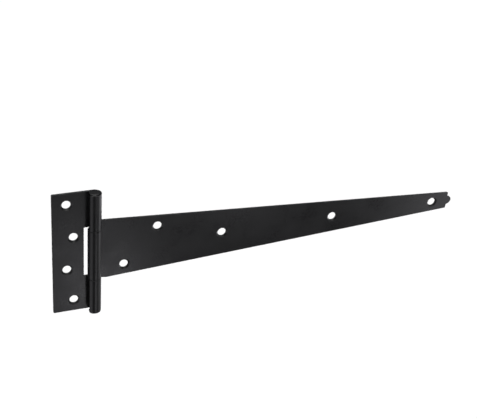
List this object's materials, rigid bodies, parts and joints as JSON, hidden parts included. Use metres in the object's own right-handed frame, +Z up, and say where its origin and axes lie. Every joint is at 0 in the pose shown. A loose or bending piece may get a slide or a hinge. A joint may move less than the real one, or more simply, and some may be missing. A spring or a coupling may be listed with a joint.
{
  "type": "tee hinge",
  "caption": "Tee hinge: a tall leaf for the post and a long tapered strap for the door, rolled round one vertical pin, with countersunk screw holes.",
  "frame": {"origin": "on the fixed leaf's flat back, at mid height, 19 mm from the pin axis", "axes": "+X along the strap from the leaf to its tip, +Y out of the leaf's and strap's flat backs towards what they are screwed to, +Z up along the pin"},
  "size_m": [0.3352, 0.0101, 0.105],
  "materials": {
    "black_powder_coat": "satin black powder coat on pressed steel sheet",
    "black_pin": "satin black powder coat on a peened steel pin"
  },
  "bodies": {
    "leaf_and_pin": {"fixed_leaf": "black_powder_coat", "hinge_pin": "black_pin"},
    "strap": {"strap": "black_powder_coat"}
  },
  "joints": [
    {"name": "strap_swing", "type": "hinge", "parent": "leaf_and_pin", "child": "strap", "pos_m": [0.019, -0.00505, 0], "axis": [0, 0, -1], "range_deg": [-92, 190]}
  ]
}
